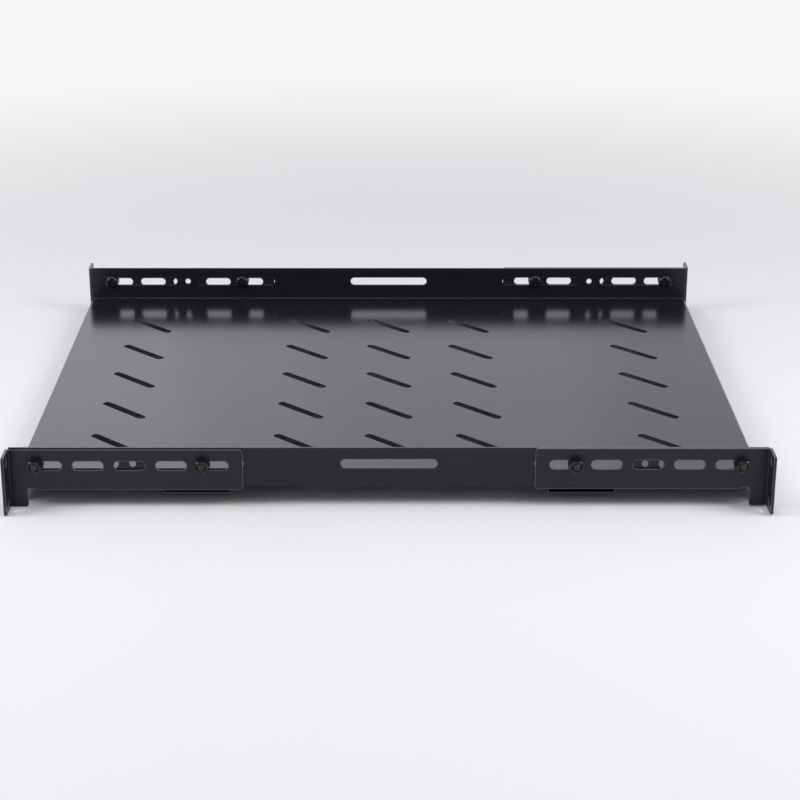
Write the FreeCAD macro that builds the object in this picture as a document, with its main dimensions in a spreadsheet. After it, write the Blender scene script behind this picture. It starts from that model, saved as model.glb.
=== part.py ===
"""Fixed one-unit rack shelf on four adjustable corner brackets.

The tray is one folded sheet.  Its long walls are bolted to four L-brackets, whose
ears screw to the posts of a rack.  Millimetres, +Z up.  X runs along the depth of
the rack with the front posts at -X, and +Y is the left side seen from the front.
The origin lies under the middle of the tray, level with the lowest ear.
"""
import FreeCAD, Part
import Sketcher
import os
import re

# Driving dimensions: a word, its value in millimetres and what it measures.
DIMENSIONS = [
    ("overall_width", 482.6, "across the ears, one side of the rack to the other"),
    ("ear_reach", 19.8, "ear beyond the outside of the long wall"),
    ("tray_length", 548, "tray, end to end"),
    ("wall_rise", 29, "long wall above the deck"),
    ("tray_sheet", 1.2, "sheet of the tray"),
    ("bend_inside", 0.8, "inside radius of every fold"),
    ("lip_drop", 11, "downturned lip at each short end, below the deck's top"),
    ("lip_inset", 6, "end of a lip to the outside of the wall"),
    ("relief_width", 3, "notch beside each lip, across the tray"),
    ("relief_depth", 4, "notch beside each lip, along the tray"),
    ("vent_pitch", 70, "vent to vent, both ways"),
    ("vent_length", 50, "vent, end to end"),
    ("vent_width", 7, "vent, across"),
    ("vent_turn", 45, "vent to the long walls, in degrees"),
    ("vent_rows", 5, "rows of vents"),
    ("middle_columns", 3, "columns of vents at one pitch about the middle"),
    ("outer_column", 3, "outer column of vents from the middle, in pitches"),
    ("slot_drop", 12.5, "axis of the wall slots below the top of the wall"),
    ("bolt_diameter", 6, "bolts"),
    ("slot_play", 1, "slot height over the bolt"),
    ("wall_slot", 70, "long slot in a wall, end to end"),
    ("outer_slot_inset", 44, "middle of the outer long slot to the end of the tray"),
    ("inner_slot_inset", 134, "middle of the inner long slot to the end of the tray"),
    ("lock_hole_inset", 89, "round hole to the end of the tray"),
    ("lock_hole_bore", 4.8, "round hole in a wall, diameter"),
    ("rib_crown", 50, "stiffener, width of its flat crown"),
    ("rib_depth", 8, "stiffener below the deck"),
    ("rib_foot", 12, "welding foot on each side of a stiffener"),
    ("rib_sheet", 1.2, "sheet of a stiffener"),
    ("rib_inset", 5.5, "end of a stiffener to the outside of the wall"),
    ("bracket_sheet", 2, "sheet of a bracket"),
    ("ear_gap", 0.4, "end of the tray to the inner face of an ear"),
    ("ear_height", 44.45, "ear, top to bottom"),
    ("arm_height", 31.3, "arm, top to bottom"),
    ("arm_slot_drop", 12.5, "axis of the arm slots below the top of the arm"),
    ("arm_length", 168.8, "arm, free end to the inner face of the ear"),
    ("tab_width", 12.9, "deep part of the arm beside the ear"),
    ("tab_relief_length", 6.4, "step under the arm beside the tab"),
    ("tab_relief_rise", 1, "height of that step"),
    ("arm_slot", 22.5, "slot in an arm, end to end"),
    ("arm_slot_pitch", 30, "arm slot to arm slot"),
    ("arm_slot_first", 27.2, "outermost arm slot to the inner face of the ear"),
    ("arm_slots", 5, "slots in an arm"),
    ("ear_hole_edge", 8.75, "ear holes to the outer edge of the ear"),
    ("rack_holes_apart", 31.75, "ear holes, one above the other"),
    ("ear_hole_bore", 7, "ear hole, diameter"),
    ("corner_round", 2, "free corners of ears and arms"),
    ("bolt_shift", 8, "bolt towards the ear from the middle of its arm slot"),
    ("bolt_length", 10, "bolt, under its head"),
    ("bolt_tip", 0.7, "chamfer at the end of a bolt"),
    ("head_diameter", 12, "bolt head"),
    ("head_height", 3.8, "bolt head"),
    ("head_round", 2.9, "rounding of a bolt head"),
    ("recess_length", 6, "cross recess, tip to tip"),
    ("recess_width", 1.3, "cross recess, across a wing"),
    ("recess_depth", 2, "cross recess"),
    ("washer_diameter", 12.5, "flat washer"),
    ("washer_thickness", 1, "flat washer"),
    ("washer_play", 0.4, "washer bore over the bolt"),
    ("lock_washer_diameter", 11.4, "split washer"),
    ("lock_washer_thickness", 1.2, "split washer"),
    ("lock_washer_split", 1, "gap in the split washer"),
    ("nut_flats", 10, "hexagon nut across its flats"),
    ("nut_height", 4.5, "hexagon nut"),
    ("nut_play", 0.1, "nut bore over the bolt"),
    ("nut_chamfer", 0.7, "corners of a nut"),
    ("nut_mouth", 0.4, "countersink at each end of a nut's bore"),
    ("hang_share", 0.9, "share of the slot play by which a loose bracket hangs"),
]

# Lengths that follow from the sheet, written in its words.
SLOT_HEIGHT = "(bolt_diameter + slot_play)"
HANG = "(slot_play * hang_share)"
SLOT_AXIS = f"(ear_height - arm_slot_drop + {HANG})"
WALL_TOP = f"({SLOT_AXIS} + slot_drop)"
DECK_TOP = f"({WALL_TOP} - wall_rise)"
DECK_UNDER = f"({DECK_TOP} - tray_sheet)"
WALL_OUT = "(overall_width / 2 - ear_reach)"
WALL_IN = f"({WALL_OUT} - tray_sheet)"
TRAY_END = "(tray_length / 2)"
EAR_IN = f"({TRAY_END} + ear_gap)"
EAR_OUT = f"({EAR_IN} + bracket_sheet)"
ARM_START = f"({EAR_IN} - arm_length)"
TAB_START = f"({EAR_IN} - tab_width)"
ARM_BOTTOM = "(arm_slot_drop - arm_height)"
EAR_BOTTOM = "(arm_slot_drop - ear_height)"
EAR_MIDDLE = "(arm_slot_drop - ear_height / 2)"
FIRST_SLOT = f"({EAR_IN} - arm_slot_first)"
CLAMPED = "(tray_sheet + bracket_sheet)"
RIB_CENTRE = "(vent_pitch * (outer_column + (middle_columns - 1) / 2) / 2)"

# Each corner: its name, the hand of its bracket, whether it faces the far wall, and
# the share of the hang by which its bracket sits on its bolts (-1 lowest, 0 level).
CORNERS = [
    ("front_right", -1, False, -1),
    ("rear_right", 1, False, 0),
    ("front_left", 1, True, -1),
    ("rear_left", -1, True, 0),
]

document = FreeCAD.newDocument("rack_shelf")
sheet = document.addObject("Spreadsheet::Sheet", "dims")
for row, (word, size, meaning) in enumerate(DIMENSIONS, start=1):
    sheet.set(f"A{row}", meaning)
    sheet.set(f"B{row}", str(size))
    sheet.setAlias(f"B{row}", word)
document.recompute()

WORDS = re.compile(r"\b(" + "|".join(word for word, _, _ in DIMENSIONS) + r")\b")


def linked(text):
    """The expression text with each word pointed at its cell in the sheet."""
    return WORDS.sub(r"dims.\1", text)


def value(text):
    """What the expression text comes to now."""
    return float(sheet.evalExpression(text))


def bind(item, **sizes):
    """Tie properties of item to expressions."""
    for name, text in sizes.items():
        item.setExpression(name, linked(text))


# ---- sketches -------------------------------------------------------------------

def new_sketch(body, name, plane):
    """A sketch on one of the body's own origin planes."""
    sketch = body.newObject("Sketcher::SketchObject", name)
    planes = {item.Role: item for item in body.Origin.OriginFeatures}
    sketch.AttachmentSupport = [(planes[plane], "")]
    sketch.MapMode = "FlatFace"
    return sketch


def tie_length(sketch, constraint, text):
    """Add a dimension to the sketch and tie it to an expression."""
    index = sketch.addConstraint(constraint)
    sketch.setExpression(f"Constraints[{index}]", linked(text))


def pin(sketch, geometry, end, across, up):
    """Hold one point of a sketch at two expressions, measured from its origin."""
    for kind, text, axis in (("DistanceX", across, -2), ("DistanceY", up, -1)):
        size = value(text)
        if abs(size) < 1e-9:
            sketch.addConstraint(Sketcher.Constraint("PointOnObject", geometry, end, axis))
        else:
            tie_length(sketch, Sketcher.Constraint(kind, -1, 1, geometry, end, size), text)


def add_polygon(sketch, corners):
    """A closed outline through corners, each a pair of expressions."""
    points = [FreeCAD.Vector(value(across), value(up), 0) for across, up in corners]
    first = sketch.GeometryCount
    count = len(points)
    for index, point in enumerate(points):
        sketch.addGeometry(Part.LineSegment(point, points[(index + 1) % count]))
    for index in range(count):
        following = first + (index + 1) % count
        sketch.addConstraint(Sketcher.Constraint("Coincident", first + index, 2, following, 1))
    for index, (across, up) in enumerate(corners):
        pin(sketch, first + index, 1, across, up)


def add_box(sketch, left, right, low, high):
    """An upright rectangle between four expressions."""
    add_polygon(sketch, [(left, low), (right, low), (right, high), (left, high)])


def add_circle(sketch, across, up, bore):
    """A round hole of the given diameter."""
    centre = FreeCAD.Vector(value(across), value(up), 0)
    circle = Part.Circle(centre, FreeCAD.Vector(0, 0, 1), value(bore) / 2)
    index = sketch.addGeometry(circle)
    tie_length(sketch, Sketcher.Constraint("Diameter", index, value(bore)), bore)
    pin(sketch, index, 3, across, up)


def add_slot(sketch, across, up, length, width, turn="0"):
    """A round-ended slot about a centre, turned clockwise by an angle in degrees."""
    reach = f"(({length}) - ({width})) / 2"
    step_across = f"({reach} * cos(({turn}) * 1 deg))"
    step_up = f"({reach} * sin(({turn}) * 1 deg))"
    start = (f"({across}) - {step_across}", f"({up}) + {step_up}")
    finish = (f"({across}) + {step_across}", f"({up}) - {step_up}")
    first = FreeCAD.Vector(value(start[0]), value(start[1]), 0)
    second = FreeCAD.Vector(value(finish[0]), value(finish[1]), 0)
    radius = value(width) / 2
    along = (second - first).normalize()
    side = FreeCAD.Vector(-along.y, along.x, 0) * radius
    near_end = sketch.addGeometry(Part.Arc(first + side, first - along * radius, first - side))
    under = sketch.addGeometry(Part.LineSegment(first - side, second - side))
    far_end = sketch.addGeometry(Part.Arc(second - side, second + along * radius, second + side))
    over = sketch.addGeometry(Part.LineSegment(second + side, first + side))
    for one, other in ((near_end, under), (under, far_end), (far_end, over), (over, near_end)):
        sketch.addConstraint(Sketcher.Constraint("Tangent", one, 2, other, 1))
    sketch.addConstraint(Sketcher.Constraint("Equal", near_end, far_end))
    tie_length(sketch, Sketcher.Constraint("Radius", near_end, radius), f"({width}) / 2")
    pin(sketch, near_end, 3, *start)
    pin(sketch, far_end, 3, *finish)


# ---- features -------------------------------------------------------------------

def new_body(label):
    """An empty body whose label is its sub-part's name."""
    body = document.addObject("PartDesign::Body", label)
    body.Label = label
    return body


def add_pad(body, sketch, name, length, symmetric=True, below=None):
    """Thicken a sketch: about its plane, to one side, or by two lengths."""
    pad = body.newObject("PartDesign::Pad", name)
    pad.Profile = sketch
    pad.SideType = "Symmetric" if symmetric else "One side"
    bind(pad, Length=length)
    if below is not None:
        pad.SideType = "Two sides"
        bind(pad, Length2=below)
    document.recompute()
    return pad


def add_pocket(body, sketch, name):
    """Cut a sketch right through the body, both ways."""
    before = body.Shape.Volume
    pocket = body.newObject("PartDesign::Pocket", name)
    pocket.Profile = sketch
    pocket.SideType = "Symmetric"
    pocket.Type = "ThroughAll"
    document.recompute()
    if body.Shape.Volume > before - 1:
        raise RuntimeError(f"{body.Label}: {name} removes nothing")
    return pocket


def add_round(body, name, radius, chosen):
    """Round the edges whose middle point and direction satisfy chosen."""
    base = body.Tip
    edges = []
    for index, edge in enumerate(base.Shape.Edges, start=1):
        if edge.Curve.TypeId != "Part::GeomLine":
            continue
        if chosen(edge.CenterOfMass, edge.tangentAt(edge.FirstParameter)):
            edges.append(f"Edge{index}")
    if not edges:
        raise RuntimeError(f"{body.Label}: {name} finds no edge")
    fillet = body.newObject("PartDesign::Fillet", name)
    fillet.Base = (base, edges)
    bind(fillet, Radius=radius)
    document.recompute()
    return fillet


def is_at(size, text):
    """Whether a length, either side of the middle, is the expression's."""
    return abs(abs(size) - abs(value(text))) < 1e-4


def level(size, text):
    """Whether a height is the expression's."""
    return abs(size - value(text)) < 1e-4


def repeat_grid(body, pocket, name, columns, width, rows, depth):
    """Repeat a pocket in columns along X over width and in rows along Y over depth."""
    axes = {item.Role: item for item in body.Origin.OriginFeatures}
    grid = body.newObject("PartDesign::MultiTransform", name)
    grid.Originals = [pocket]
    ways = []
    for axis, count, length in (("X_Axis", columns, width), ("Y_Axis", rows, depth)):
        way = document.addObject("PartDesign::LinearPattern", f"{name}_{axis[0].lower()}")
        body.addObject(way)
        way.Direction = (axes[axis], [""])
        bind(way, Occurrences=count, Length=length)
        ways.append(way)
    grid.Transformations = ways
    body.Tip = grid
    document.recompute()
    return grid


# ---- tray and stiffeners --------------------------------------------------------

def build_tray():
    """Deck, two upturned long walls and two downturned end lips, of one sheet."""
    body = new_body("tray")
    channel = new_sketch(body, "tray_channel", "YZ_Plane")
    add_polygon(channel, [
        (f"-{WALL_OUT}", WALL_TOP),
        (f"-{WALL_OUT}", DECK_UNDER),
        (WALL_OUT, DECK_UNDER),
        (WALL_OUT, WALL_TOP),
        (WALL_IN, WALL_TOP),
        (WALL_IN, DECK_TOP),
        (f"-{WALL_IN}", DECK_TOP),
        (f"-{WALL_IN}", WALL_TOP),
    ])
    add_pad(body, channel, "tray_folded", "tray_length")
    add_round(
        body, "wall_bend_outside", "bend_inside + tray_sheet",
        lambda at, along: is_at(at.y, WALL_OUT) and level(at.z, DECK_UNDER) and abs(along.x) > 0.9)
    add_round(
        body, "wall_bend_inside", "bend_inside",
        lambda at, along: is_at(at.y, WALL_IN) and level(at.z, DECK_TOP) and abs(along.x) > 0.9)

    lips = new_sketch(body, "tray_lips", "XZ_Plane")
    for side in ("-", ""):
        inner = f"{side}({TRAY_END} - tray_sheet)"
        add_box(lips, inner, f"{side}{TRAY_END}", f"{DECK_TOP} - lip_drop", DECK_TOP)
    add_pad(body, lips, "lips", f"2 * ({WALL_OUT} - lip_inset)")

    notches = new_sketch(body, "lip_notches", "XY_Plane")
    for end in ("-", ""):
        for side in ("-", ""):
            add_box(
                notches, f"{end}({TRAY_END} - relief_depth)", f"{end}({TRAY_END} + relief_depth)",
                f"{side}({WALL_OUT} - lip_inset)", f"{side}({WALL_OUT} - lip_inset + relief_width)")
    add_pocket(body, notches, "lip_reliefs")
    add_round(
        body, "lip_bend_outside", "bend_inside + tray_sheet",
        lambda at, along: (is_at(at.x, TRAY_END) and level(at.z, DECK_TOP)
                           and abs(along.y) > 0.9 and abs(at.y) < 1))
    add_round(
        body, "lip_bend_inside", "bend_inside",
        lambda at, along: (is_at(at.x, f"{TRAY_END} - tray_sheet") and level(at.z, DECK_UNDER)
                           and abs(along.y) > 0.9 and abs(at.y) < 1))

    openings = new_sketch(body, "wall_openings", "XZ_Plane")
    add_slot(openings, "0", SLOT_AXIS, "wall_slot", SLOT_HEIGHT)
    for side in ("-", ""):
        for inset in ("inner_slot_inset", "outer_slot_inset"):
            add_slot(openings, f"{side}({TRAY_END} - {inset})", SLOT_AXIS, "wall_slot", SLOT_HEIGHT)
        add_circle(openings, f"{side}({TRAY_END} - lock_hole_inset)", SLOT_AXIS, "lock_hole_bore")
    add_pocket(body, openings, "wall_slots")

    first_row = "-vent_pitch * (vent_rows - 1) / 2"
    depth = "vent_pitch * (vent_rows - 1)"
    middle = new_sketch(body, "middle_vent", "XY_Plane")
    first_column = "-vent_pitch * (middle_columns - 1) / 2"
    add_slot(middle, first_column, first_row, "vent_length", "vent_width", "vent_turn")
    repeat_grid(
        body, add_pocket(body, middle, "middle_vents"), "middle_grid",
        "middle_columns", "vent_pitch * (middle_columns - 1)", "vent_rows", depth)
    outer = new_sketch(body, "outer_vent", "XY_Plane")
    add_slot(outer, "-vent_pitch * outer_column", first_row, "vent_length", "vent_width", "vent_turn")
    repeat_grid(
        body, add_pocket(body, outer, "outer_vents"), "outer_grid",
        "2", "2 * vent_pitch * outer_column", "vent_rows", depth)
    return body


def build_rib(label, side):
    """Hat-section stiffener that runs under the deck from wall to wall."""
    body = new_body(label)
    centre = f"({side} * {RIB_CENTRE})"
    crown_bottom = f"({DECK_UNDER} - rib_depth)"
    half = "(rib_crown / 2)"
    section = new_sketch(body, f"{label}_section", "XZ_Plane")
    add_polygon(section, [
        (f"{centre} - {half} - rib_foot", DECK_UNDER),
        (f"{centre} - {half} - rib_foot", f"{DECK_UNDER} - rib_sheet"),
        (f"{centre} - {half}", f"{DECK_UNDER} - rib_sheet"),
        (f"{centre} - {half}", crown_bottom),
        (f"{centre} + {half}", crown_bottom),
        (f"{centre} + {half}", f"{DECK_UNDER} - rib_sheet"),
        (f"{centre} + {half} + rib_foot", f"{DECK_UNDER} - rib_sheet"),
        (f"{centre} + {half} + rib_foot", DECK_UNDER),
        (f"{centre} + {half} - rib_sheet", DECK_UNDER),
        (f"{centre} + {half} - rib_sheet", f"{crown_bottom} + rib_sheet"),
        (f"{centre} - {half} + rib_sheet", f"{crown_bottom} + rib_sheet"),
        (f"{centre} - {half} + rib_sheet", DECK_UNDER),
    ])
    add_pad(body, section, f"{label}_strip", f"2 * ({WALL_OUT} - rib_inset)")

    def on_fold(at, along, width, height):
        return is_at(at.x - value(centre), width) and level(at.z, height) and abs(along.y) > 0.9

    add_round(
        body, f"{label}_bends_outside", "bend_inside + rib_sheet",
        lambda at, along: (on_fold(at, along, half, crown_bottom)
                           or on_fold(at, along, f"{half} - rib_sheet", DECK_UNDER)))
    add_round(
        body, f"{label}_bends_inside", "bend_inside",
        lambda at, along: (on_fold(at, along, f"{half} - rib_sheet", f"{crown_bottom} + rib_sheet")
                           or on_fold(at, along, half, f"{DECK_UNDER} - rib_sheet")))
    return body


# ---- brackets -------------------------------------------------------------------

def seat(item, faces_far, rise):
    """Put an item built on the right-hand wall, at the slot axis, on its own wall."""
    turn = 180 if faces_far else 0
    side = "" if faces_far else "-"
    spin = FreeCAD.Rotation(FreeCAD.Vector(0, 0, 1), turn) * item.Placement.Rotation
    item.Placement = FreeCAD.Placement(FreeCAD.Vector(), spin)
    item.setExpression("Placement.Base.y", linked(f"{side}{WALL_OUT}"))
    item.setExpression("Placement.Base.z", linked(f"{SLOT_AXIS} + {rise}"))


def build_bracket(corner, hand, faces_far, lift):
    """L-bracket: a slotted arm along the wall and an ear bent outwards at its end."""
    label = f"bracket_{corner}"
    body = new_body(label)
    flange = new_sketch(body, f"{label}_fold", "XY_Plane")
    add_polygon(flange, [
        (f"{hand} * {TAB_START}", "0"),
        (f"{hand} * {EAR_OUT}", "0"),
        (f"{hand} * {EAR_OUT}", "-ear_reach"),
        (f"{hand} * {EAR_IN}", "-ear_reach"),
        (f"{hand} * {EAR_IN}", "-bracket_sheet"),
        (f"{hand} * {TAB_START}", "-bracket_sheet"),
    ])
    add_pad(body, flange, f"{label}_ear", "arm_slot_drop", False, f"-({EAR_BOTTOM})")

    arm = new_sketch(body, f"{label}_arm_outline", "XZ_Plane")
    add_box(arm, f"{hand} * {ARM_START}", f"{hand} * ({TAB_START} + tab_width / 2)", ARM_BOTTOM, "arm_slot_drop")
    add_pad(body, arm, f"{label}_arm", "bracket_sheet", False)
    add_round(
        body, f"{label}_bend_outside", "bend_inside + bracket_sheet",
        lambda at, along: is_at(at.x, EAR_OUT) and level(at.y, "0") and abs(along.z) > 0.9)
    add_round(
        body, f"{label}_bend_inside", "bend_inside",
        lambda at, along: is_at(at.x, EAR_IN) and level(at.y, "-bracket_sheet") and abs(along.z) > 0.9)

    step = new_sketch(body, f"{label}_step_outline", "XZ_Plane")
    add_box(
        step, f"{hand} * ({TAB_START} - tab_relief_length)", f"{hand} * {TAB_START}",
        f"{ARM_BOTTOM} - tab_relief_rise", f"{ARM_BOTTOM} + tab_relief_rise")
    add_pocket(body, step, f"{label}_step")

    slots = new_sketch(body, f"{label}_slot_outlines", "XZ_Plane")
    for index in range(round(value("arm_slots"))):
        centre = f"{hand} * ({FIRST_SLOT} - {index} * arm_slot_pitch)"
        add_slot(slots, centre, "0", "arm_slot", SLOT_HEIGHT)
    add_pocket(body, slots, f"{label}_slots")

    holes = new_sketch(body, f"{label}_ear_circles", "YZ_Plane")
    for half in ("+ rack_holes_apart / 2", "- rack_holes_apart / 2"):
        add_circle(holes, "ear_hole_edge - ear_reach", f"{EAR_MIDDLE} {half}", "ear_hole_bore")
    add_pocket(body, holes, f"{label}_ear_holes")

    def is_free_corner(at, along):
        ear = is_at(at.y, "ear_reach") and abs(along.x) > 0.9
        arm_end = is_at(at.x, ARM_START) and abs(along.y) > 0.9
        tab = is_at(at.x, TAB_START) and level(at.z, EAR_BOTTOM) and abs(along.y) > 0.9
        return ear or arm_end or tab

    add_round(body, f"{label}_corners", "corner_round", is_free_corner)
    seat(body, faces_far, f"({lift} * {HANG})")
    return body


# ---- fasteners ------------------------------------------------------------------
# A fastener is built along +Z, which points out of the tray, from the inner face of
# the wall.  A group holds the two of one corner.

def add_cylinder(name, diameter, height, start="0"):
    """A round bar about Z from the height start."""
    bar = document.addObject("Part::Cylinder", name)
    bind(bar, Radius=f"({diameter}) / 2", Height=height)
    bar.setExpression("Placement.Base.z", linked(start))
    return bar


def soften(kind, base, name, size, chosen):
    """Round or chamfer the circular edges of a turned piece that satisfy chosen."""
    document.recompute()
    item = document.addObject(kind, name)
    item.Base = base
    amount = value(size)
    item.Edges = [
        (index, amount, amount) for index, edge in enumerate(base.Shape.Edges, start=1)
        if edge.Curve.TypeId == "Part::GeomCircle" and chosen(edge)]
    return item


def take_away(base, tool, name):
    """Cut one solid with another."""
    cut = document.addObject("Part::Cut", name)
    cut.Base = base
    cut.Tool = tool
    return cut


def build_bolt(name):
    """Round-headed bolt with a cross recess."""
    plain_head = add_cylinder(f"{name}_head_bar", "head_diameter", "head_height", "-head_height")
    head = soften(
        "Part::Fillet", plain_head, f"{name}_head", "head_round",
        lambda edge: edge.CenterOfMass.z < -1e-6)
    plain_shank = add_cylinder(f"{name}_shank_bar", "bolt_diameter", "bolt_length")
    shank = soften(
        "Part::Chamfer", plain_shank, f"{name}_shank", "bolt_tip",
        lambda edge: edge.CenterOfMass.z > 1e-6)
    whole = document.addObject("Part::Fuse", f"{name}_whole")
    whole.Base = head
    whole.Tool = shank
    wings = []
    for index, (across, up) in enumerate((("recess_length", "recess_width"),
                                          ("recess_width", "recess_length"))):
        wing = document.addObject("Part::Box", f"{name}_wing_{index}")
        bind(wing, Length=across, Width=up, Height="recess_depth")
        wing.setExpression("Placement.Base.x", linked(f"-({across}) / 2"))
        wing.setExpression("Placement.Base.y", linked(f"-({up}) / 2"))
        wing.setExpression("Placement.Base.z", linked("-head_height"))
        wings.append(wing)
    cross = document.addObject("Part::Fuse", f"{name}_cross")
    cross.Base, cross.Tool = wings
    return take_away(whole, cross, name)


def build_ring(name, outside, thickness, start):
    """Flat ring that slips over the bolt."""
    blank = add_cylinder(f"{name}_blank", outside, thickness, start)
    bore = add_cylinder(f"{name}_bore", "bolt_diameter + washer_play", thickness, start)
    return take_away(blank, bore, name)


def build_washer(name):
    """Flat washer against the bracket."""
    return build_ring(name, "washer_diameter", "washer_thickness", CLAMPED)


def build_lock_washer(name):
    """Split washer between the flat washer and the nut."""
    start = f"({CLAMPED} + washer_thickness)"
    ring = build_ring(f"{name}_ring", "lock_washer_diameter", "lock_washer_thickness", start)
    split = document.addObject("Part::Box", f"{name}_split")
    bind(split, Length="lock_washer_diameter", Width="lock_washer_split", Height="lock_washer_thickness")
    split.setExpression("Placement.Base.y", linked("-lock_washer_split / 2"))
    split.setExpression("Placement.Base.z", linked(start))
    return take_away(ring, split, name)


def build_nut(name):
    """Hexagon nut with chamfered corners and a countersunk bore."""
    start = f"({CLAMPED} + washer_thickness + lock_washer_thickness)"
    corners = "nut_flats / cos(30 deg)"
    prism = document.addObject("Part::Prism", f"{name}_prism")
    prism.Polygon = 6
    bind(prism, Circumradius=f"{corners} / 2", Height="nut_height")
    prism.setExpression("Placement.Base.z", linked(start))
    turned = add_cylinder(f"{name}_turned", corners, "nut_height", start)
    chamfered = soften("Part::Chamfer", turned, f"{name}_chamfered", "nut_chamfer", lambda edge: True)
    blank = document.addObject("Part::Common", f"{name}_blank")
    blank.Base = prism
    blank.Tool = chamfered
    bore_width = "(bolt_diameter + nut_play)"
    bore = add_cylinder(f"{name}_bore", bore_width, "nut_height", start)
    drilled = take_away(blank, bore, f"{name}_drilled")
    return soften(
        "Part::Chamfer", drilled, name, "nut_mouth",
        lambda edge: abs(2 * edge.Curve.Radius - value(bore_width)) < 1e-6)


def build_group(kind, build, corner, hand, faces_far, lift):
    """The two fasteners of one kind that clamp the bracket at one corner."""
    label = f"{kind}_{corner}"
    outermost = f"{hand} * ({FIRST_SLOT} + bolt_shift)"
    innermost = f"{hand} * ({FIRST_SLOT} + bolt_shift - (arm_slots - 1) * arm_slot_pitch)"
    pair = []
    for index, place in enumerate((outermost, innermost)):
        fastener = build(f"{label}_{index}")
        fastener.setExpression("Placement.Base.x", linked(place))
        pair.append(fastener)
    group = document.addObject("Part::Compound", label)
    group.Label = label
    group.Links = pair
    outwards = FreeCAD.Rotation(FreeCAD.Vector(1, 0, 0), 90)
    group.Placement = FreeCAD.Placement(FreeCAD.Vector(), outwards)
    seat(group, faces_far, f"({lift} * {HANG} / 2)")
    side = "" if faces_far else "-"
    group.setExpression("Placement.Base.y", linked(f"{side}{WALL_IN}"))
    return group


# ---- the shelf ------------------------------------------------------------------

FASTENERS = [
    ("bolts", build_bolt),
    ("washers", build_washer),
    ("lock_washers", build_lock_washer),
    ("nuts", build_nut),
]

subparts = [build_tray(), build_rib("rib_front", -1), build_rib("rib_rear", 1)]
for corner_name, bracket_hand, at_far_wall, seat_share in CORNERS:
    subparts.append(build_bracket(corner_name, bracket_hand, at_far_wall, seat_share))
    for fastener_kind, build_one in FASTENERS:
        subparts.append(
            build_group(fastener_kind, build_one, corner_name, bracket_hand, at_far_wall, seat_share))
document.recompute()

for thing in document.Objects:
    if "Invalid" in thing.State or "Error" in thing.State:
        raise RuntimeError(f"{thing.Label} did not build: {thing.State}")
for subpart in subparts:
    if subpart.Shape.isNull() or not subpart.Shape.isValid():
        raise RuntimeError(f"{subpart.Label} has no sound shape")

os.makedirs("parts", exist_ok=True)
for subpart in subparts:
    subpart.Shape.exportStep(f"parts/{subpart.Label}.step")
    print(subpart.Label, len(subpart.Shape.Solids), round(subpart.Shape.Volume, 1))
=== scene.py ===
import math

import bmesh
import bpy
from mathutils import Matrix, Vector


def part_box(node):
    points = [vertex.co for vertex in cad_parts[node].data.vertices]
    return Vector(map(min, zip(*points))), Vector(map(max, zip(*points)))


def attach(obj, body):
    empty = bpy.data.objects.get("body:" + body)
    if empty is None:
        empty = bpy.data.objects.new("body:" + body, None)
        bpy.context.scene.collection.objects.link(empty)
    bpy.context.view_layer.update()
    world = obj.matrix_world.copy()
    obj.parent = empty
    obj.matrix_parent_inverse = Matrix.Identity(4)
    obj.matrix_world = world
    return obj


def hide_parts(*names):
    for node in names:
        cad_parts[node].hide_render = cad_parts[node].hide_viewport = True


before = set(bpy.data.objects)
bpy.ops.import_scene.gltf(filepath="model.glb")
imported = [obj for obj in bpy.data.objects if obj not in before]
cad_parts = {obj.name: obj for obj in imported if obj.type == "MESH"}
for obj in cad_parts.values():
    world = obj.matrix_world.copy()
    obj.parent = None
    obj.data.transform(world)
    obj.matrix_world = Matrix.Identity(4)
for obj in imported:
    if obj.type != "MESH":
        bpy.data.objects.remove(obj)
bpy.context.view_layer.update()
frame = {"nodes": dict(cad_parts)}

MM = 0.001

# ---- sizes of the bolts, in metres ----------------------------------------------

THREAD_PITCH = 1.0 * MM
THREAD_DEPTH = 0.6 * MM
THREAD_STEPS = 8            # rings for each turn of thread
THREAD_FLAT = 0.12          # flat share of a turn at the root, and again at the crest
ROUND_STEPS = 48            # points round a bolt
TIP_CHAMFER = 0.7 * MM
SHANK_RADIUS = 3.0 * MM
HEAD_RADIUS = 6.0 * MM
HEAD_HEIGHT = 3.8 * MM
HEAD_EDGE = 1.0 * MM        # height of the straight rim under the dome
HEAD_BREAK = 0.25 * MM      # chamfer where the rim meets the wall
DOME_STEPS = 12
CROWN_RADIUS = 0.4 * MM     # innermost ring of the head, lost in the recess
SEAT_GAP = 0.02 * MM        # between the head and the wall it is drawn against
RECESS_REACH = 4.2 * MM     # cross recess at the face of the head
RECESS_HALF_WIDTH = 0.95 * MM
RECESS_DEPTH = 2.3 * MM
RECESS_TAPER = 0.62         # size of the recess at its bottom
RECESS_SHOULDER = 0.94      # where a wing starts to round off
RECESS_NOSE = 0.5           # width of a wing's end, beside its full width
RECESS_CORNER = 1.35        # rounded corner between two wings, in half widths
CUTTER_LIFT = 1.0 * MM      # how far the cutting cross stands clear of the head
CUTTER_FLARE = 1.12         # and how much larger it is there
BOLT_TWISTS = {"a": 11.0, "b": -6.0}    # how the crosses came to rest, in degrees
SMOOTH_ANGLE = 35.0         # degrees between faces that still shade as one
JOIN_WITHIN = 0.005 * MM    # points closer than this are one

# ---- camera ---------------------------------------------------------------------

CAMERA_ASIDE = -1.3 * MM
CAMERA_BACK = 1595.6 * MM   # from the middle of the shelf
CAMERA_ABOVE_DECK = 582.7 * MM
CAMERA_TILT = 20.62         # degrees below the horizon
CAMERA_PAN = 0.38           # degrees to the right
CAMERA_ROLL = 0.13
CAMERA_LENS = 92.57         # millimetres
CAMERA_SENSOR = 36.0
CAMERA_NEAR = 0.05
DECK_ABOVE_LIPS = 11.0 * MM


# ---- shader arithmetic ----------------------------------------------------------

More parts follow.
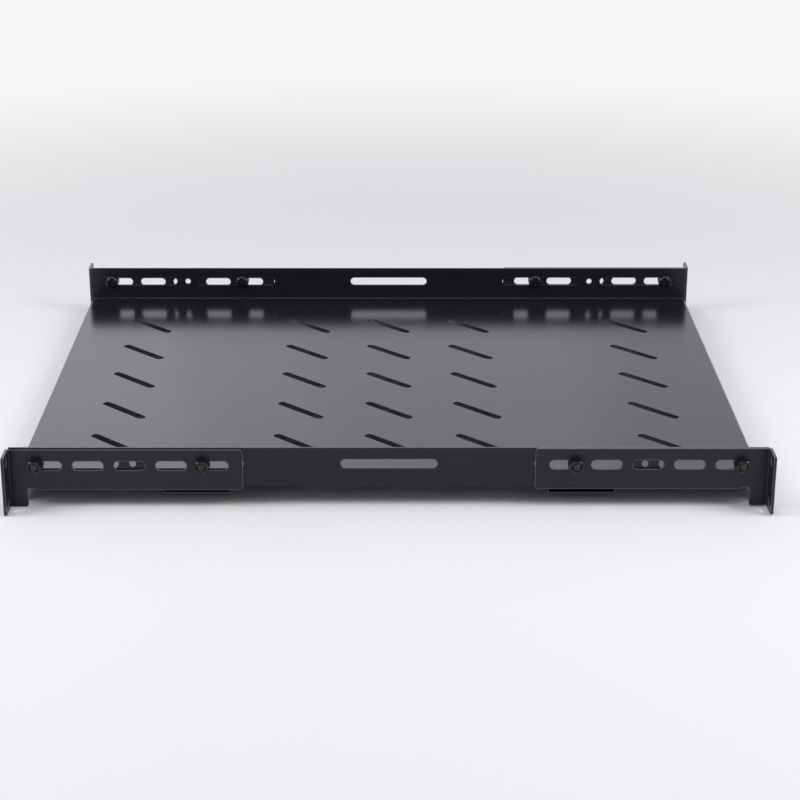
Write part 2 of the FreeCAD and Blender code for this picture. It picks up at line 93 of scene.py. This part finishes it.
MIX_LOW = 6                 # a colour mix's sockets, which share their names with others
MIX_HIGH = 7
MIX_RESULT = 2
BEVEL_SAMPLES = 6
TURNED, UNTURNED = 0.9, 0.998       # cosines between which the line along an edge fades out


class Field:
    """A number that varies over a surface.  Arithmetic on it adds Math nodes."""

    def __init__(self, nodes, socket):
        self.nodes = nodes
        self.socket = socket

    def math(self, operation, first, second=0.0):
        node = self.nodes.node("ShaderNodeMath", {"operation": operation}, {0: first, 1: second})
        return Field(self.nodes, node.outputs[0])

    def __add__(self, other):
        return self.math("ADD", self, other)

    def __sub__(self, other):
        return self.math("SUBTRACT", self, other)

    def __rsub__(self, other):
        return self.math("SUBTRACT", other, self)

    def __mul__(self, other):
        return self.math("MULTIPLY", self, other)

    __radd__ = __add__
    __rmul__ = __mul__

    def absolute(self):
        return self.math("ABSOLUTE", self)

    def power(self, exponent):
        return self.math("POWER", self, exponent)

    def larger(self, other):
        return self.math("MAXIMUM", self, other)

    def zigzag(self, reach):
        """Up to a height and down to 0 again, over and over."""
        return self.math("PINGPONG", self, reach)

    def between(self, low, high):
        """0 below low, 1 above high and a smooth rise between them."""
        node = self.nodes.node(
            "ShaderNodeMapRange", {"interpolation_type": "SMOOTHSTEP"},
            {"Value": self, "From Min": low, "From Max": high})
        return Field(self.nodes, node.outputs["Result"])


class Nodes:
    """The nodes of a material or of the world."""

    def __init__(self, owner, output_kind):
        owner.use_nodes = True
        self.tree = owner.node_tree
        self.tree.nodes.clear()
        self.output = self.node(output_kind)

    def node(self, kind, settings=None, inputs=None):
        """A node of one kind: its settings, then its sockets' values or links.

        A colour is given as three numbers."""
        node = self.tree.nodes.new(kind)
        for name, setting in (settings or {}).items():
            setattr(node, name, setting)
        for name, given in (inputs or {}).items():
            if isinstance(given, Field):
                given = given.socket
            socket = node.inputs[name]
            if isinstance(given, bpy.types.NodeSocket):
                self.tree.links.new(given, socket)
            elif socket.type == "RGBA":
                socket.default_value = (*given, 1.0)
            else:
                socket.default_value = given
        return node

    def show(self, shader):
        """Make a shader node the one that is seen."""
        self.tree.links.new(shader.outputs[0], self.output.inputs["Surface"])

    def rays(self, *kinds):
        """1 for rays of the kinds named, and 0 for all others."""
        path = self.node("ShaderNodeLightPath")
        first, *others = [Field(self, path.outputs[kind]) for kind in kinds]
        for other in others:
            first = first.larger(other)
        return first

    def mix_shaders(self, share, low, high):
        ends = {1: low.outputs[0], 2: high.outputs[0]}
        return self.node("ShaderNodeMixShader", {}, {"Fac": share, **ends})


class Finish(Nodes):
    """A material and its nodes."""

    def __init__(self, name):
        self.material = bpy.data.materials.new(name)
        super().__init__(self.material, "ShaderNodeOutputMaterial")

    def place(self):
        """The point in the shelf's own frame, in metres."""
        return self.node("ShaderNodeTexCoord").outputs["Object"]

    def noise(self, scale, detail):
        """Soft random field with features about 1 / scale metres across."""
        node = self.node(
            "ShaderNodeTexNoise", {}, {"Vector": self.place(), "Scale": scale, "Detail": detail})
        return Field(self, node.outputs["Fac"])

    def mix_colors(self, share, low, high):
        """From one colour to another, by a field; a colour is a socket or three numbers."""
        node = self.node(
            "ShaderNodeMix", {"data_type": "RGBA"}, {"Factor": share, MIX_LOW: low, MIX_HIGH: high})
        return node.outputs[MIX_RESULT]

    def soft_edges(self, radius):
        """The surface's direction with its edges rounded over by the coat."""
        bevel = self.node("ShaderNodeBevel", {"samples": BEVEL_SAMPLES}, {"Radius": radius})
        return bevel.outputs["Normal"]

    def edge_line(self, radius):
        """1 along sharp edges and 0 on the flats, by how far rounding would turn the surface."""
        rounded = self.soft_edges(radius)
        flat = self.node("ShaderNodeNewGeometry").outputs["Normal"]
        turn = self.node("ShaderNodeVectorMath", {"operation": "DOT_PRODUCT"}, {0: rounded, 1: flat})
        return 1.0 - Field(self, turn.outputs["Value"]).between(TURNED, UNTURNED)

    def bump(self, height, strength, distance, normal):
        bump = self.node(
            "ShaderNodeBump", {},
            {"Height": height, "Strength": strength, "Distance": distance, "Normal": normal})
        return bump.outputs["Normal"]

    def surface(self, **sockets):
        """The material's one shader; spaces in socket names are written as underscores."""
        inputs = {name.replace("_", " "): given for name, given in sockets.items()}
        self.show(self.node("ShaderNodeBsdfPrincipled", {}, inputs))
        return self.material


# ---- finishes -------------------------------------------------------------------

COAT_IOR = 1.4
COAT_TINT = (0.88, 0.865, 1.0)
COAT_EDGE = 0.3 * MM
PEEL = ((700.0, 2.0, 0.7), (2600.0, 1.0, 0.3))      # scale, detail and share of each noise
PEEL_STRENGTH = 0.14
PEEL_HEIGHT = 0.05 * MM
CLOUD = (7.0, 3.0)          # scale and detail
CLOUD_GLOSS = 0.05
CLOUD_TONE = 0.8
DUST = (1500.0, 1.0)
DUST_FROM, DUST_TO = 0.74, 0.8      # only the peaks of the noise are dust
DUST_GLOSS = 0.15
DUST_TONE = 0.5
EDGE_WEAR_AND_HIGHLIGHT_REACH = 0.9 * MM        # how far the lighter line along an edge reaches: partly worn coat, partly painted highlight
# tone of the edge line: worn coat, and a painted highlight standing in for light caught by the rounded
# edges
EDGE_WEAR_AND_HIGHLIGHT_TONE = (0.22, 0.22, 0.235)

SPOT_LINE = 31.0 * MM       # from the middle of a stiffener to a line of spot welds
SPOT_PITCH = 72.0 * MM
SPOT_INNER, SPOT_OUTER = 1.6 * MM, 3.0 * MM
SPOT_DEPTH = 6.0            # beside the height of the orange peel

ZINC_TONES = (0.003, 0.003, 0.0033), (0.006, 0.0058, 0.0063)
ZINC_GRAIN = (1800.0, 3.0)
ZINC_CLOUD = (260.0, 2.0)
ZINC_GLOSS = 0.08
ZINC_STRENGTH = 0.15
ZINC_HEIGHT = 0.03 * MM
ZINC_EDGE = 0.18 * MM

TRAY_TONES = (0.0065, 0.0063, 0.008), (0.0105, 0.010, 0.0125)
BRACKET_TONES = (0.008, 0.0078, 0.0092), (0.0125, 0.012, 0.0138)


def powder_coat(name, tones, smooth, edge_wear_and_highlight, weld_marks=False):
    """Satin black powder coat: fine orange peel, a gloss that wanders a little, and a lighter line
    along the edges that is partly wear and partly a painted highlight.
    """
    finish = Finish(name)
    coarse, fine = [finish.noise(scale, detail) * share for scale, detail, share in PEEL]
    height = coarse + fine
    if weld_marks:
        height = height - spot_welds(finish) * SPOT_DEPTH
    cloud = finish.noise(*CLOUD)
    dust = finish.noise(*DUST).between(DUST_FROM, DUST_TO)
    coat = finish.mix_colors(cloud * CLOUD_TONE + dust * DUST_TONE, *tones)
    # lighter line along the edges: partly coat worn thin, partly a painted highlight of the rounded
    # edges
    edge = finish.edge_line(EDGE_WEAR_AND_HIGHLIGHT_REACH) * edge_wear_and_highlight
    return finish.surface(
        Base_Color=finish.mix_colors(edge, coat, EDGE_WEAR_AND_HIGHLIGHT_TONE),
        Roughness=smooth + (cloud - 0.5) * CLOUD_GLOSS + dust * DUST_GLOSS,
        IOR=COAT_IOR,
        Specular_Tint=COAT_TINT,
        Normal=finish.bump(height, PEEL_STRENGTH, PEEL_HEIGHT, finish.soft_edges(COAT_EDGE)))


def spot_welds(finish):
    """Round dimples in a line along each foot of the stiffeners."""
    split = finish.node("ShaderNodeSeparateXYZ", {}, {0: finish.place()})
    along = Field(finish, split.outputs["Y"])
    across = Field(finish, split.outputs["X"])
    low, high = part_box("rib_rear")
    middle = (low.x + high.x) / 2
    from_line = ((across.absolute() - middle).absolute() - SPOT_LINE).absolute()
    from_spot = along.zigzag(SPOT_PITCH / 2)
    reach = (from_line * from_line + from_spot * from_spot).power(0.5)
    return 1.0 - reach.between(SPOT_INNER, SPOT_OUTER)


def black_zinc(name, smooth, ior):
    """Black plated steel, shinier than the coat."""
    finish = Finish(name)
    grain = finish.noise(*ZINC_GRAIN)
    return finish.surface(
        Base_Color=finish.mix_colors(finish.noise(*ZINC_CLOUD), *ZINC_TONES),
        IOR=ior,
        Roughness=smooth + (grain - 0.5) * ZINC_GLOSS,
        Normal=finish.bump(grain, ZINC_STRENGTH, ZINC_HEIGHT, finish.soft_edges(ZINC_EDGE)))


def paint(piece, material):
    """Give a piece one material."""
    piece.data.materials.clear()
    piece.data.materials.append(material)


# ---- bolts ----------------------------------------------------------------------

def skin(mesh, loops):
    """Close a row of loops of vertices into a solid."""
    count = len(loops[0])
    for lower, upper in zip(loops, loops[1:]):
        for step in range(count):
            ahead = (step + 1) % count
            mesh.faces.new((lower[step], lower[ahead], upper[ahead], upper[step]))
    mesh.faces.new(list(reversed(loops[0])))
    mesh.faces.new(loops[-1])


def revolve(rings, steps):
    """A closed skin of rings; a ring is a height and a radius, or a rule for it."""
    mesh = bmesh.new()
    loops = []
    for height, radius in rings:
        loop = []
        for step in range(steps):
            angle = 2 * math.pi * step / steps
            reach = radius(angle) if callable(radius) else radius
            loop.append(mesh.verts.new((reach * math.cos(angle), reach * math.sin(angle), height)))
        loops.append(loop)
    skin(mesh, loops)
    return mesh


def thread_radius(height, length):
    """How far the thread stands out at a height, as a rule of the angle."""
    def radius(angle):
        turn = (height / THREAD_PITCH - angle / (2 * math.pi)) % 1.0
        crest = 1.0 - abs(2.0 * turn - 1.0)
        flank = min(1.0, max(0.0, (crest - THREAD_FLAT) / (1.0 - 2 * THREAD_FLAT)))
        free = SHANK_RADIUS - max(0.0, height - (length - TIP_CHAMFER))
        return min(free, SHANK_RADIUS - THREAD_DEPTH * (1.0 - flank))
    return radius


def bolt_rings(length):
    """Round head, then the threaded shank, from the top of the head down to the tip."""
    rings = [(-HEAD_HEIGHT, CROWN_RADIUS), (-HEAD_HEIGHT, RECESS_REACH / 2)]
    for step in range(1, DOME_STEPS + 1):
        angle = math.pi / 2 * step / DOME_STEPS
        radius = RECESS_REACH + (HEAD_RADIUS - RECESS_REACH) * math.sin(angle)
        fall = (HEAD_HEIGHT - HEAD_EDGE) * (1.0 - math.cos(angle))
        rings.append((-HEAD_HEIGHT + fall, radius))
    rings.append((-HEAD_BREAK, HEAD_RADIUS))
    rings.append((-SEAT_GAP, HEAD_RADIUS - HEAD_BREAK))
    rings.append((-SEAT_GAP, SHANK_RADIUS))
    count = int(length / THREAD_PITCH * THREAD_STEPS)
    for step in range(1, count + 1):
        height = length * step / count
        rings.append((height, thread_radius(height, length)))
    return rings


def recess_cutter(name):
    """Tapered cross that is sunk into the head."""
    reach, half = RECESS_REACH, RECESS_HALF_WIDTH
    wing = ((reach * RECESS_SHOULDER, -half), (reach, -half * RECESS_NOSE), (reach, half * RECESS_NOSE),
            (reach * RECESS_SHOULDER, half), (half * RECESS_CORNER, half * RECESS_CORNER))
    outline = []
    for quarter in range(4):
        turn = Matrix.Rotation(quarter * math.pi / 2, 3, "Z")
        outline.extend(turn @ Vector((*corner, 0.0)) for corner in wing)
    levels = ((-HEAD_HEIGHT - CUTTER_LIFT, CUTTER_FLARE), (-HEAD_HEIGHT, 1.0),
              (-HEAD_HEIGHT + RECESS_DEPTH, RECESS_TAPER))
    mesh = bmesh.new()
    skin(mesh, [[mesh.verts.new((point.x * size, point.y * size, height)) for point in outline]
                for height, size in levels])
    return new_object(name, mesh)


def new_object(name, mesh):
    """Turn a bmesh into an object of the scene."""
    bmesh.ops.recalc_face_normals(mesh, faces=mesh.faces)
    data = bpy.data.meshes.new(name)
    mesh.to_mesh(data)
    mesh.free()
    return link(name, data)


def link(name, data):
    """An object of the scene that shows a mesh, lamp or camera."""
    piece = bpy.data.objects.new(name, data)
    bpy.context.scene.collection.objects.link(piece)
    return piece


def apply_modifiers(piece):
    """Make the modified mesh the piece's own."""
    made = bpy.data.meshes.new_from_object(
        piece.evaluated_get(bpy.context.evaluated_depsgraph_get()))
    piece.modifiers.clear()
    piece.data = made


def bolt_pattern_mesh(length):
    """One bolt along +Z, its head below zero, with the cross sunk into the head."""
    piece = new_object("bolt_pattern", revolve(bolt_rings(length), ROUND_STEPS))
    cutter = recess_cutter("recess_pattern")
    cut = piece.modifiers.new("recess", "BOOLEAN")
    cut.object = cutter
    cut.solver = "EXACT"
    apply_modifiers(piece)
    mesh = piece.data
    bpy.data.objects.remove(piece)
    bpy.data.objects.remove(cutter)
    return mesh


def smooth_by_angle(mesh, degrees):
    """Join points that coincide; smooth shading up to an angle between faces, sharp edges past it."""
    work = bmesh.new()
    work.from_mesh(mesh)
    bmesh.ops.remove_doubles(work, verts=work.verts, dist=JOIN_WITHIN)
    bmesh.ops.dissolve_degenerate(work, edges=work.edges, dist=JOIN_WITHIN)
    limit = math.radians(degrees)
    for face in work.faces:
        face.smooth = True
    for edge in work.edges:
        edge.smooth = len(edge.link_faces) == 2 and edge.calc_face_angle(0.0) < limit
    work.to_mesh(mesh)
    work.free()


def dress_bolts(corner, pattern, length, material):
    """Put two threaded bolts in place of a corner's plain ones."""
    node = f"bolts_{corner}"
    low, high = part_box(node)
    outwards = 1.0 if high.y > 0 else -1.0
    seat_y = outwards * (max(abs(low.y), abs(high.y)) - length)
    height = (low.z + high.z) / 2
    lie_down = Matrix.Rotation(math.radians(-90.0 * outwards), 4, "X")
    for which, x in (("a", low.x + HEAD_RADIUS), ("b", high.x - HEAD_RADIUS)):
        piece = link(f"bolt_{corner}_{which}", pattern.copy())
        twist = Matrix.Rotation(math.radians(BOLT_TWISTS[which]), 4, "Z")
        piece.matrix_world = Matrix.Translation((x, seat_y, height)) @ lie_down @ twist
        paint(piece, material)
        if which == "a":
            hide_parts(node)
        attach(piece, f"corner_{corner}")


# ---- the shelf ------------------------------------------------------------------

CORNERS = ("front_right", "rear_right", "front_left", "rear_left")


def dress_shelf():
    """Finish every piece of the shelf."""
    tray_coat = powder_coat("tray_coat", TRAY_TONES, smooth=0.19, edge_wear_and_highlight=0.35)
    rib_coat = powder_coat("rib_coat", TRAY_TONES, smooth=0.3, edge_wear_and_highlight=0.35, weld_marks=True)
    bracket_coat = powder_coat("bracket_coat", BRACKET_TONES, smooth=0.3, edge_wear_and_highlight=0.8)
    bolt_zinc = black_zinc("bolt_zinc", smooth=0.09, ior=1.5)
    nut_zinc = black_zinc("nut_zinc", smooth=0.1, ior=1.42)
    nodes = frame["nodes"]
    paint(nodes["tray"], tray_coat)
    for name in ("rib_front", "rib_rear"):
        paint(nodes[name], rib_coat)
    low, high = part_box("bolts_rear_right")
    length = (high.y - low.y) - HEAD_HEIGHT
    pattern = bolt_pattern_mesh(length)
    smooth_by_angle(pattern, SMOOTH_ANGLE)
    for corner in CORNERS:
        paint(nodes[f"bracket_{corner}"], bracket_coat)
        for kind in ("washers", "lock_washers", "nuts"):
            paint(nodes[f"{kind}_{corner}"], nut_zinc)
        dress_bolts(corner, pattern, length, bolt_zinc)
    bpy.data.meshes.remove(pattern)


# ---- studio ---------------------------------------------------------------------

FLOOR_HALF = 6.0
FLOOR_TONES = (0.86, 0.86, 0.86), (0.88, 0.88, 0.88)
FLOOR_CLOUD = (3.0, 2.0)    # scale and detail
GLOW_STARTS = 0.4           # metres from the middle of the shelf
GLOW_FULL = 1.4
PALE = (0.93, 0.93, 0.93)
COOL = (0.92, 0.9, 1.0)
ROOM_LIGHT = 0.46
ROOM_GLOSS = 1.0
SOFT_BOXES = {              # place, size, radiance
    "top_box": ((0.0, -0.35, 1.6), (1.0, 1.3), 1.1),
    "left_box": ((-1.2, -0.4, 0.8), (0.65, 0.65), 6.2),
    "right_box": ((1.05, -0.45, 0.85), (0.65, 0.65), 5.4),
    "high_back_box": ((0.0, 2.6, 1.5), (4.4, 0.9), 0.1)}
BACK_LEFT = -2.2            # left end of the wall of light behind
BACK_AWAY = 2.6
BACK_ABOVE = 1.33
BACK_HEIGHT = 1.14
BACK_STEPS = ((2.2, 0.15), (0.6, 0.19), (-0.05, 0.16), (-0.35, 0.27))   # right end, radiance


def studio_floor():
    """Pale floor that keeps the shelf's shadow and glows evenly far from it."""
    mesh = bmesh.new()
    corners = [(-1, -1), (1, -1), (1, 1), (-1, 1)]
    mesh.faces.new([mesh.verts.new((x * FLOOR_HALF, y * FLOOR_HALF, 0.0)) for x, y in corners])
    floor = new_object("floor", mesh)
    finish = Finish("floor_paper")
    tone = finish.mix_colors(finish.noise(*FLOOR_CLOUD), *FLOOR_TONES)
    paper = finish.node("ShaderNodeBsdfDiffuse", {}, {"Color": tone})
    glow = finish.node("ShaderNodeEmission", {}, {"Color": PALE, "Strength": 1.0})
    seen = finish.rays("Is Camera Ray", "Is Glossy Ray", "Is Transmission Ray")
    reach = finish.node("ShaderNodeVectorMath", {"operation": "LENGTH"}, {0: finish.place()})
    away = Field(finish, reach.outputs["Value"]).between(GLOW_STARTS, GLOW_FULL)
    finish.show(finish.mix_shaders(seen * away, paper, glow))
    floor.data.materials.append(finish.material)


def studio_world():
    """Soft even light that is brighter in gloss, and a pale surround to the eye."""
    world = bpy.data.worlds.new("studio")
    bpy.context.scene.world = world
    sky = Nodes(world, "ShaderNodeOutputWorld")
    strength = ROOM_LIGHT + sky.rays("Is Glossy Ray") * (ROOM_GLOSS - ROOM_LIGHT)
    room = sky.node("ShaderNodeBackground", {}, {"Color": COOL, "Strength": strength})
    pale = sky.node("ShaderNodeBackground", {}, {"Color": PALE, "Strength": 1.0})
    seen = sky.rays("Is Camera Ray", "Is Transmission Ray")
    sky.show(sky.mix_shaders(seen, room, pale))


def soft_box(name, place, size, radiance):
    """A rectangular lamp that faces the shelf."""
    data = bpy.data.lights.new(name, "AREA")
    data.shape = "RECTANGLE"
    data.size, data.size_y = size
    data.energy = radiance * math.pi * size[0] * size[1]
    lamp = link(name, data)
    lamp.location = place
    lamp.rotation_mode = "QUATERNION"
    lamp.rotation_quaternion = (-Vector(place)).to_track_quat("-Z", "Y")
    lamp.visible_camera = False


def studio_lamps():
    """Boxes above and at both sides, and a wall of light behind that grows to the left."""
    for name, (place, size, radiance) in SOFT_BOXES.items():
        soft_box(name, place, size, radiance)
    for number, (right_end, radiance) in enumerate(BACK_STEPS):
        place = ((right_end + BACK_LEFT) / 2, BACK_AWAY, BACK_ABOVE)
        soft_box(f"back_box_{number}", place, (right_end - BACK_LEFT, BACK_HEIGHT), radiance)


def studio_camera():
    """The camera looks over the near long wall, down onto the deck."""
    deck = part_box("tray")[0].z + DECK_ABOVE_LIPS
    data = bpy.data.cameras.new("camera")
    data.sensor_width = CAMERA_SENSOR
    data.lens = CAMERA_LENS
    data.clip_start = CAMERA_NEAR
    camera = link("camera", data)
    turn = (Matrix.Rotation(math.radians(-CAMERA_PAN), 4, "Z")
            @ Matrix.Rotation(math.radians(90.0 - CAMERA_TILT), 4, "X")
            @ Matrix.Rotation(math.radians(CAMERA_ROLL), 4, "Z"))
    camera.matrix_world = Matrix.Translation(
        (CAMERA_ASIDE, -CAMERA_BACK, deck + CAMERA_ABOVE_DECK)) @ turn
    bpy.context.scene.camera = camera


dress_shelf()
studio_floor()
studio_world()
studio_lamps()
studio_camera()
bpy.context.scene.view_settings.view_transform = "Standard"
